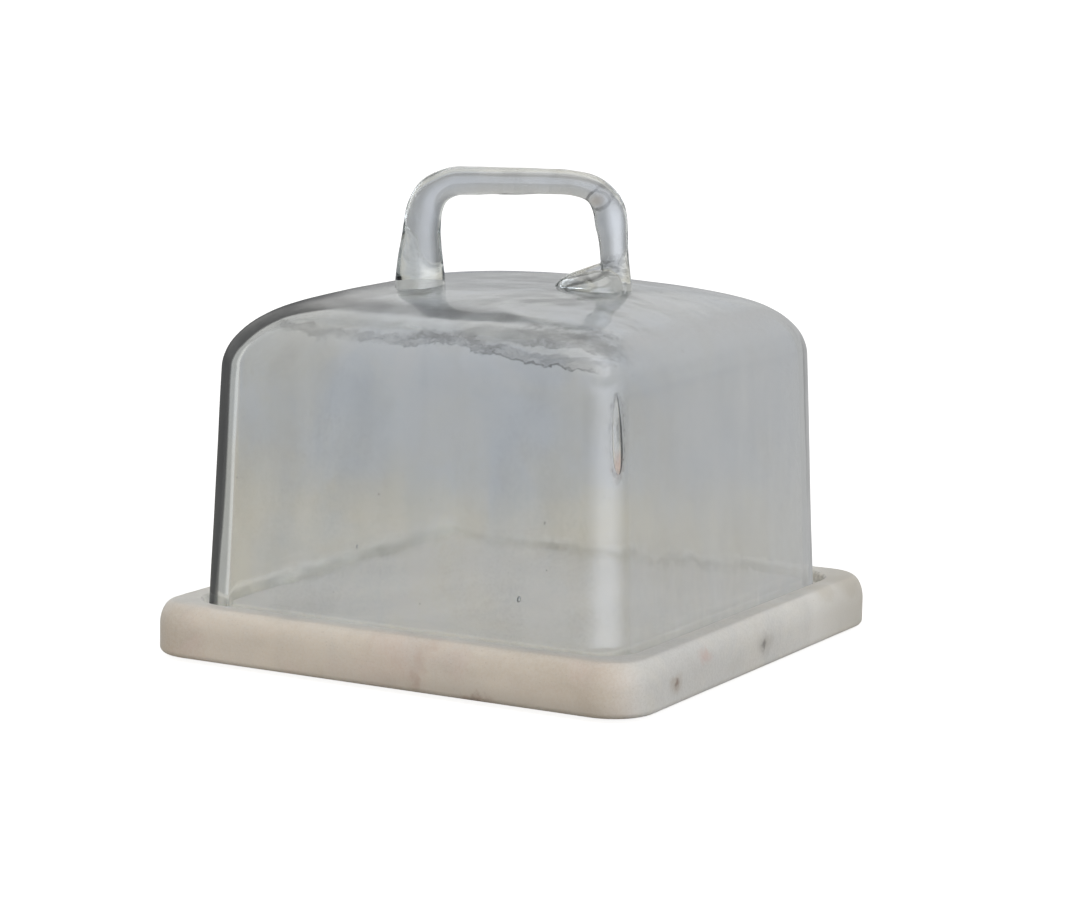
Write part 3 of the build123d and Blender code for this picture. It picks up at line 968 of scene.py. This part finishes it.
# ---- stone
t = Tree("honed_marble")
tc = t.n("ShaderNodeTexCoord").outputs["Object"]
px, py, pz = t.xyz(tc)[0:3]
warp = t.vmath("SUBTRACT", t.noise(tc, 26.0, 4.0, 0.55, 0.0, True), (0.5, 0.5, 0.5))
wv = t.n("ShaderNodeVectorMath", {0: warp}, operation="SCALE")
wv.inputs["Scale"].default_value = 0.012
p2 = t.vmath("ADD", tc, wv.outputs[0])
cloud = t.noise(p2, 16.0, 5.0, 0.6, 0.6)
cloud2 = t.noise(p2, 55.0, 4.0, 0.55, 0.3)
grain = t.noise(tc, 900.0, 3.0, 0.65)
warm = t.remap(py, -0.088, -0.101, 0.0, 1.0)
cool_c = t.mix(t.remap(cloud, 0.38, 0.62), (0.83, 0.82, 0.795, 1), (0.66, 0.655, 0.64, 1))
warm_c = t.mix(t.remap(cloud, 0.38, 0.62), (0.86, 0.785, 0.69, 1), (0.72, 0.635, 0.535, 1))
blush = t.remap(t.noise(p2, 34.0, 3.0, 0.55, 0.4), 0.50, 0.68)
warm_c = t.mix(t.math("MULTIPLY", blush, 0.5), warm_c, (0.82, 0.68, 0.62, 1))
cool_c = t.mix(t.math("MULTIPLY", blush, 0.35), cool_c, (0.80, 0.765, 0.69, 1))
col = t.mix(warm, cool_c, warm_c)
col = t.mix(t.math("MULTIPLY", t.remap(cloud2, 0.45, 0.75), 0.22), col, (0.60, 0.60, 0.60, 1))
# hair veins
vein_n = t.noise(p2, 11.0, 4.0, 0.5, 0.5)
vein = t.math("SUBTRACT", 1.0, t.math("DIVIDE", t.math("ABSOLUTE", t.math("SUBTRACT", vein_n, 0.5)), 0.022), clamp=True)
vein = t.math("MULTIPLY", vein, t.remap(t.noise(tc, 30.0, 2.0), 0.45, 0.7))
col = t.mix(t.math("MULTIPLY", vein, 0.14), col, (0.50, 0.455, 0.42, 1))
col = t.mix(t.math("MULTIPLY", t.remap(grain, 0.38, 0.62), 0.16), col, (0.95, 0.94, 0.93, 1))
pits = t.remap(t.noise(tc, 1500.0, 2.0, 0.6), 0.63, 0.72)
col = t.mix(t.math("MULTIPLY", pits, 0.28), col, (0.42, 0.40, 0.37, 1))
rub = t.noise(t.n("ShaderNodeMapping", {"Vector": tc, "Scale": (60.0, 60.0, 900.0)}).outputs[0], 1.0, 3.0, 0.7)
col = t.mix(t.math("MULTIPLY", t.remap(rub, 0.55, 0.75), 0.12), col, (0.55, 0.53, 0.50, 1))
fine = t.vmath("SUBTRACT", t.noise(tc, 240.0, 4.0, 0.6, 0.0, True), (0.5, 0.5, 0.5))
fs = t.n("ShaderNodeVectorMath", {0: fine}, operation="SCALE")
fs.inputs["Scale"].default_value = 0.007
p3 = t.vmath("ADD", p2, fs.outputs[0])
# centre (mm, board frame), radii (mm), colour, strength
MARKS = [
    ((41.5, -100.0, 2.6), (6.0, 5.0, 2.5), (0.42, 0.27, 0.20, 1), 0.75),
    ((41.8, -100.0, 2.0), (2.7, 5.0, 1.5), (0.16, 0.075, 0.06, 1), 0.9),
    ((37.2, -100.0, 1.6), (2.4, 4.0, 1.3), (0.34, 0.19, 0.14, 1), 0.7),
    ((15.2, -100.0, 4.6), (2.2, 5.0, 4.6), (0.62, 0.46, 0.38, 1), 0.5),
    ((18.2, -100.0, 12.0), (2.6, 5.0, 4.2), (0.66, 0.52, 0.45, 1), 0.42),
    ((23.0, -99.0, 16.4), (3.6, 5.0, 2.2), (0.66, 0.52, 0.45, 1), 0.32),
    ((100.0, -67.0, 7.0), (5.0, 4.6, 3.4), (0.44, 0.37, 0.31, 1), 0.55),
    ((100.0, -66.5, 7.2), (5.0, 1.7, 1.5), (0.22, 0.15, 0.12, 1), 0.7),
    ((100.0, -44.0, 12.8), (5.0, 4.2, 2.6), (0.64, 0.47, 0.43, 1), 0.55),
    ((100.0, 1.2, 9.0), (5.0, 6.2, 4.2), (0.44, 0.42, 0.39, 1), 0.6),
    ((100.0, 0.0, 8.4), (5.0, 1.8, 2.2), (0.17, 0.155, 0.145, 1), 0.75),
    ((100.0, -22.0, 4.0), (5.0, 9.0, 3.0), (0.60, 0.58, 0.54, 1), 0.35),
    ((96.5, 58.0, 18.4), (5.5, 6.5, 4.0), (0.56, 0.50, 0.40, 1), 0.4),
    ((95.0, 80.0, 17.5), (9.0, 11.0, 5.0), (0.52, 0.475, 0.40, 1), 0.6),
    ((-97.0, -52.0, 16.0), (4.0, 6.0, 4.0), (0.62, 0.56, 0.50, 1), 0.3),
    ((-30.0, 100.0, 9.0), (12.0, 5.0, 1.8), (0.45, 0.38, 0.33, 1), 0.55),
    ((-100.0, 22.0, 11.0), (5.0, 9.0, 2.2), (0.48, 0.40, 0.35, 1), 0.5),
    ((62.0, 100.0, 6.0), (4.0, 5.0, 3.0), (0.34, 0.24, 0.19, 1), 0.5),
]
for (cx, cy, cz), (rx, ry, rz), c, strength in MARKS:
    m = t.n("ShaderNodeMapping", {"Vector": p3, "Location": (-cx / rx, -cy / ry, -(cz + PAD) / rz),
                                  "Scale": (1000 / rx, 1000 / ry, 1000 / rz)}, vector_type="POINT").outputs[0]
    ln = t.vmath("LENGTH", m, None, 1)
    f = t.remap(ln, 1.45, 0.25, 0.0, strength)
    col = t.mix(f, col, c)
sq = t.math("MAXIMUM", t.math("ABSOLUTE", px), t.math("ABSOLUTE", py))
groove = t.math("MULTIPLY", t.remap(pz, (17.95 + PAD) * MM, (17.1 + PAD) * MM), t.math("LESS_THAN", sq, 0.0915))
# painted light: the plateau under the cover is made lighter, making up for the light it loses through the glass
inside = t.math("MULTIPLY", t.remap(t.math("ABSOLUTE", px), 0.0785, 0.0775), t.remap(t.math("ABSOLUTE", py), 0.0785, 0.0775))
col = t.mix(t.math("MULTIPLY", inside, 0.62), col, (0.905, 0.90, 0.885, 1))
far_end = t.math("MULTIPLY", t.remap(py, 0.020, 0.090), t.remap(px, 0.070, 0.088))
col = t.mix(t.math("MULTIPLY", far_end, 0.60), col, (0.50, 0.465, 0.40, 1))
# painted light: the channel is made lighter to make up for the shade it gets under the glass wall
col = t.mix(t.math("MULTIPLY", groove, 0.38), col, (0.96, 0.95, 0.92, 1))
# painted shade: a thin dark line round the lip's inner top edge, where the glass wall stands in the channel
rx_ = t.math("MAXIMUM", t.math("SUBTRACT", t.math("ABSOLUTE", px), 0.0732), 0.0)
ry_ = t.math("MAXIMUM", t.math("SUBTRACT", t.math("ABSOLUTE", py), 0.0732), 0.0)
lip_ = t.math("ADD", t.math("SQRT", t.math("ADD", t.math("MULTIPLY", rx_, rx_), t.math("MULTIPLY", ry_, ry_))), 0.0732)
ring = t.remap(t.math("ABSOLUTE", t.math("SUBTRACT", lip_, 0.0884)), 0.0010, 0.0003)
ring = t.math("MULTIPLY", ring, t.remap(t.noise(tc, 120.0, 4.0, 0.7), 0.38, 0.60, 0.10, 0.64))
ring = t.math("MULTIPLY", ring, t.remap(px, 0.070, 0.086, 0.55, 1.0))
col = t.mix(ring, col, (0.13, 0.125, 0.115, 1))
# painted shade: a dark line along the plateau's far edge, standing in for the shadow in the channel beside it
step = t.remap(t.math("ABSOLUTE", t.math("SUBTRACT", sq, 0.0772)), 0.0011, 0.0004)
step = t.math("MULTIPLY", step, t.remap(t.math("SUBTRACT", py, px), 0.02, 0.07, 0.0, 0.40))
col = t.mix(step, col, (0.24, 0.235, 0.22, 1))
# painted shade: the front face is made darker towards its bottom edge
foot_ = t.math("MULTIPLY", t.remap(pz, (9.0 + PAD) * MM, (1.0 + PAD) * MM), t.remap(py, -0.090, -0.099))
foot_ = t.math("MULTIPLY", foot_, t.remap(px, -0.06, 0.02))
col = t.mix(t.math("MULTIPLY", foot_, 0.44), col, (0.46, 0.42, 0.37, 1))
left_end = t.math("MULTIPLY", t.remap(px, -0.066, -0.094), t.remap(py, -0.020, -0.086))
left_end = t.math("MULTIPLY", left_end, t.remap(pz, (15.5 + PAD) * MM, (18.2 + PAD) * MM))
col = t.mix(t.math("MULTIPLY", left_end, 0.22), col, (0.50, 0.455, 0.375, 1))
rough = t.remap(t.noise(tc, 70.0, 3.0), 0.3, 0.7, 0.40, 0.56, False)
hgt = t.math("ADD", t.math("MULTIPLY", grain, 0.020), t.math("MULTIPLY", t.noise(tc, 160.0, 4.0, 0.6), 0.05))
bmp = t.n("ShaderNodeBump", {"Strength": 0.8, "Distance": 0.001, "Height": hgt})
mar = t.n("ShaderNodeBsdfPrincipled", {
    "Base Color": col, "Roughness": rough, "Normal": bmp.outputs[0], "IOR": 1.48,
    "Subsurface Weight": 0.12, "Subsurface Radius": (1.0, 0.8, 0.6), "Subsurface Scale": 0.003})
# painted light: where light has run down inside the glass wall, the stone in the channel glows a fixed pale grey
# instead of being lit
lps = t.n("ShaderNodeLightPath")
run_in = t.math("MULTIPLY", t.math("GREATER_THAN", lps.outputs["Glossy Depth"], 1.5), t.math("GREATER_THAN", lps.outputs["Transmission Depth"], 0.5))
pale = t.n("ShaderNodeEmission", {"Color": (0.34, 0.34, 0.335, 1), "Strength": 1.0})
mar_m = t.n("ShaderNodeMixShader", {0: run_in, 1: mar.outputs[0], 2: pale.outputs[0]})
t.n("ShaderNodeOutputMaterial", {"Surface": mar_m.outputs[0]})
board.data.materials.append(t.owner)

# ---- pads
r = Tree("soft_pad")
tc = r.n("ShaderNodeTexCoord").outputs["Object"]
rb = r.n("ShaderNodeBump", {"Strength": 0.5, "Distance": 0.0002, "Height": r.noise(tc, 1400.0, 3.0)})
colr = r.mix(r.noise(tc, 300.0, 3.0), (0.66, 0.66, 0.64, 1), (0.80, 0.80, 0.78, 1))
rp = r.n("ShaderNodeBsdfPrincipled", {"Base Color": colr, "Roughness": r.remap(r.noise(tc, 500.0), 0.3, 0.7, 0.35, 0.55),
                                      "Normal": rb.outputs[0], "Transmission Weight": 0.0})
r.n("ShaderNodeOutputMaterial", {"Surface": rp.outputs[0]})
for o in pads:
    o.data.materials.append(r.owner)

# ------------------------------------------------------------------ studio
cam_pos = Vector((0.626261, -1.109722, 0.279279 + PAD * MM))
cr = Vector((0.87192623, 0.48941373, 0.01479325))
cu = Vector((-0.09361044, 0.13696621, 0.98614266))
cb = cr.cross(cu)
cam_data = bpy.data.cameras.new("studio_camera")
cam_data.sensor_width = 36.0
cam_data.lens = 3509.493 / 1077 * 36.0
cam_data.clip_start, cam_data.clip_end = 0.05, 60.0
cam = bpy.data.objects.new("studio_camera", cam_data)
cam.matrix_world = Matrix(((cr.x, cu.x, cb.x, cam_pos.x), (cr.y, cu.y, cb.y, cam_pos.y),
                           (cr.z, cu.z, cb.z, cam_pos.z), (0, 0, 0, 1)))
scene.collection.objects.link(cam)
scene.camera = cam

def bearings(t, d):
    """Degrees right of the camera's axis, and degrees above level, of a direction."""
    r_ = t.vmath("DOT_PRODUCT", d, RGT, 1)
    f_ = t.vmath("DOT_PRODUCT", d, AWAY, 1)
    az = t.math("MULTIPLY", t.math("ARCTAN2", r_, f_), 57.29578)
    el = t.math("MULTIPLY", t.math("ARCSINE", t.xyz(d)[2]), 57.29578)
    return az, el


def edge_light(t, az, el, lp, colour):
    """What solid glass shows of the room: a rod sees a soft ramp that falls off to the left, the wall's edge, where light
    turns back inside the glass, sees a pale card low on the left; light that has run along inside the wall is dim."""
    two = t.math("MULTIPLY", t.math("GREATER_THAN", lp.outputs["Transmission Depth"], 1.5),
                 t.math("LESS_THAN", lp.outputs["Transmission Depth"], 2.5))
    turned = t.math("GREATER_THAN", lp.outputs["Glossy Depth"], 0.5)
    rod = tones(t, el, [(-50, (0.20, 0.20, 0.195)), (-26, (0.30, 0.30, 0.305)), (-14, (0.335, 0.345, 0.36)), (-6, (0.36, 0.375, 0.40)),
                        (4, (0.40, 0.41, 0.43)), (14, (0.43, 0.435, 0.445)), (60, (0.45, 0.45, 0.45))])
    rod = t.mix(t.remap(az, -13.0, -34.0), rod, t.vmath("MULTIPLY", rod, (0.70, 0.705, 0.71)))
    edge = t.mix(t.math("MULTIPLY", t.remap(az, -50.0, -60.0), t.remap(el, -21.0, -16.0)), (0.40, 0.405, 0.40, 1), (0.66, 0.665, 0.655, 1))
    colour = t.mix(two, colour, t.mix(turned, rod, edge))
    guided = t.math("SUBTRACT", lp.outputs["Glossy Depth"], 2.0)
    guided = t.math("MULTIPLY", t.math("MULTIPLY", guided, 0.45, clamp=True), t.math("GREATER_THAN", lp.outputs["Transmission Depth"], 0.5))
    dim = t.mix(t.remap(az, -75.0, -50.0), (0.13, 0.133, 0.135, 1), (0.30, 0.305, 0.31, 1))
    return t.mix(guided, colour, dim)


# backdrop: white to the camera, a plain grey room to everything else
w = Tree("studio", True)
scene.world = w.owner
dirv = w.n("ShaderNodeTexCoord").outputs["Generated"]
az, el = bearings(w, dirv)
lpw = w.n("ShaderNodeLightPath")


def tones(t, v, stops):
    """A smooth ramp of colours over a value, from (value, colour) stops."""
    lo_, hi_ = stops[0][0], stops[-1][0]
    r_ = t.n("ShaderNodeValToRGB", {0: t.remap(v, lo_, hi_, 0.0, 1.0, False)})
    r_.color_ramp.interpolation = "EASE"
    e_ = r_.color_ramp.elements
    for k, (p_, c_) in ((0, stops[0]), (1, stops[-1])):
        e_[k].position, e_[k].color = float(k), (c_[0], c_[1], c_[2], 1)
    for p_, c_ in stops[1:-1]:
        e_.new((p_ - lo_) / (hi_ - lo_)).color = (c_[0], c_[1], c_[2], 1)
    return r_.outputs[0]


through = tones(w, el, [(-90, (0.42, 0.41, 0.39)), (-10, (0.41, 0.41, 0.405)), (2, (0.40, 0.415, 0.44)),
                        (12, (0.415, 0.43, 0.455)), (35, (0.46, 0.465, 0.475)), (90, (0.62, 0.62, 0.62))])
through = edge_light(w, az, el, lpw, through)
mirror = tones(w, el, [(-90, (0.45, 0.44, 0.42)), (-5, (0.44, 0.44, 0.44)), (8, (0.56, 0.565, 0.575)),
                       (20, (0.84, 0.84, 0.845)), (35, (1.05, 1.05, 1.05)), (55, (1.8, 1.8, 1.8)), (72, (3.3, 3.3, 3.3)), (90, (3.6, 3.6, 3.6))])
side_gain = w.remap(az, -25.0, 30.0, 0.90, 1.25)
mirror = w.n("ShaderNodeVectorMath", {0: mirror}, operation="SCALE")
w.put(mirror.inputs["Scale"], side_gain)
mirror = mirror.outputs[0]
front_az = w.math("ABSOLUTE", w.math("WRAP", w.math("SUBTRACT", az, 151.0), -180.0, 180.0))
front_box = w.math("MULTIPLY", w.remap(front_az, 78.0, 6.0), w.math("MULTIPLY", w.remap(el, -14.0, -4.0), w.remap(el, 48.0, 34.0)))
mirror = w.mix(front_box, mirror, (4.3, 4.5, 4.9, 1))
flag = w.math("MULTIPLY", w.remap(az, -2.0, -14.0), w.remap(az, -100.0, -80.0))
flag = w.math("MULTIPLY", flag, w.remap(el, 7.0, 1.0))
mirror = w.mix(w.math("MULTIPLY", flag, 0.75), mirror, (0.10, 0.10, 0.105, 1))
lamp_l = w.math("MULTIPLY", w.remap(az, 0.0, -15.0), w.remap(az, -110.0, -70.0))
lamp_l = w.math("MULTIPLY", lamp_l, w.math("MULTIPLY", w.remap(el, 6.0, 14.0), w.remap(el, 60.0, 45.0)))
mirror = w.mix(lamp_l, mirror, (1.75, 1.74, 1.71, 1))
spot = w.vmath("DOT_PRODUCT", dirv, tuple(Vector((0.307, 0.0735, 0.949)).normalized()), 1)
mirror = w.mix(w.remap(spot, math.cos(math.radians(15)), math.cos(math.radians(8))), mirror, (4.6, 4.6, 4.6, 1))
lit = tones(w, el, [(-90, (0.50, 0.48, 0.45)), (-5, (0.56, 0.55, 0.53)), (10, (0.64, 0.64, 0.63)), (35, (0.46, 0.458, 0.45)), (90, (0.265, 0.262, 0.252))])
right_lit = w.remap(w.vmath("DOT_PRODUCT", dirv, (0.99, -0.1, 0.0), 1), 0.35, 0.95)
lit = w.mix(w.math("MULTIPLY", right_lit, w.remap(el, 44.0, 16.0, 0.0, 0.9)), lit, (2.0, 2.0, 1.97, 1))
front_lit = w.remap(w.vmath("DOT_PRODUCT", dirv, (-0.45, -0.89, 0.0), 1), 0.2, 0.95)
lit = w.mix(w.math("MULTIPLY", front_lit, 0.8), lit, (0.98, 0.91, 0.82, 1))
room = w.mix(lpw.outputs["Is Reflection Ray"], through, mirror)
room = w.mix(lpw.outputs["Is Diffuse Ray"], room, lit)
room = w.mix(lpw.outputs["Is Camera Ray"], room, (1, 1, 1, 1))
bg = w.n("ShaderNodeBackground", {"Color": room, "Strength": 1.0})
w.n("ShaderNodeOutputWorld", {"Surface": bg.outputs[0]})

fl = Tree("pale_floor")
geo = fl.n("ShaderNodeTexCoord").outputs["Object"]
fx, fy = fl.xyz(geo)[0:2]
wob = fl.math("MULTIPLY", fl.math("SUBTRACT", fl.noise(geo, 7.0, 3.0, 0.5), 0.5), 0.16)
behind = fl.vmath("DOT_PRODUCT", geo, AWAY, 1)
beside = fl.math("ABSOLUTE", fl.vmath("DOT_PRODUCT", geo, RGT, 1))
far_ = fl.math("SUBTRACT", fl.vmath("LENGTH", geo, None, 1), fl.math("MULTIPLY", beside, 0.9))
far_ = fl.math("ADD", far_, wob)
seen = fl.mix(fl.remap(far_, 0.17, 0.34), (0.480, 0.466, 0.430, 1), (0.398, 0.412, 0.438, 1))
ray = fl.vmath("MULTIPLY", fl.n("ShaderNodeNewGeometry").outputs["Incoming"], (-1.0, -1.0, -1.0))
faz, fel = bearings(fl, ray)
lpf = fl.n("ShaderNodeLightPath")
seen = edge_light(fl, faz, fel, lpf, seen)
# reflected rays see a bright glowing patch on the floor in front, standing in for a softbox
glow = fl.math("ABSOLUTE", fl.math("WRAP", fl.math("SUBTRACT", faz, 151.0), -180.0, 180.0))
glow = fl.math("MULTIPLY", fl.remap(glow, 78.0, 6.0), lpf.outputs["Is Reflection Ray"])
glow = fl.math("MULTIPLY", glow, fl.remap(fel, -20.0, -13.5, 0.10, 1.0))
seen = fl.mix(glow, seen, (4.0, 4.15, 4.5, 1))
# painted shadow: for diffuse rays the floor glows darker close to the object
bounce = fl.mix(fl.remap(fl.vmath("LENGTH", geo, None, 1), 0.10, 0.45), (0.16, 0.15, 0.135, 1), (0.56, 0.55, 0.525, 1))
seen = fl.mix(lpf.outputs["Is Diffuse Ray"], seen, bounce)
em = fl.n("ShaderNodeEmission", {"Color": seen, "Strength": 1.0})
dif = fl.n("ShaderNodeBsdfDiffuse", {"Color": (0.60, 0.60, 0.60, 1)})
base_em = fl.n("ShaderNodeEmission", {"Color": (1, 1, 1, 1), "Strength": 0.84})
addn = fl.n("ShaderNodeAddShader", {0: dif.outputs[0], 1: base_em.outputs[0]})
mf = fl.n("ShaderNodeMixShader", {0: lpf.outputs["Is Camera Ray"], 1: em.outputs[0], 2: addn.outputs[0]})
fl.n("ShaderNodeOutputMaterial", {"Surface": mf.outputs[0]})
bm = bmesh.new()
bmesh.ops.create_grid(bm, x_segments=8, y_segments=8, size=9.0)
me = bpy.data.meshes.new("floor")
bm.to_mesh(me)
bm.free()
floor = bpy.data.objects.new("floor", me)
floor.location.z = -0.00005
scene.collection.objects.link(floor)
me.materials.append(fl.owner)


def softbox(name, where, at, size_x, size_y, power, colour):
    ld = bpy.data.lights.new(name, "AREA")
    ld.shape = "RECTANGLE"
    ld.size, ld.size_y = size_x, size_y
    ld.energy = power
    ld.color = colour
    o = bpy.data.objects.new(name, ld)
    o.location = where
    o.rotation_mode = "QUATERNION"
    o.rotation_quaternion = (Vector(at) - Vector(where)).to_track_quat("-Z", "Y")
    scene.collection.objects.link(o)
    return o


softbox("key", (0.9, -1.3, 1.3), (0, 0, 0.08), 1.0, 1.0, 0.75, (1.0, 0.99, 0.97))

# ------------------------------------------------------------------ look of the render
scene.view_settings.view_transform = "Standard"
scene.view_settings.look = "None"
scene.view_settings.exposure = 0.0
scene.view_settings.gamma = 1.0
cy = scene.cycles
cy.max_bounces = 22
cy.transmission_bounces = 22
cy.glossy_bounces = 12
cy.diffuse_bounces = 3
cy.transparent_max_bounces = 24
cy.caustics_reflective = False
cy.caustics_refractive = False
cy.sample_clamp_indirect = 6.0
cy.use_denoising = True
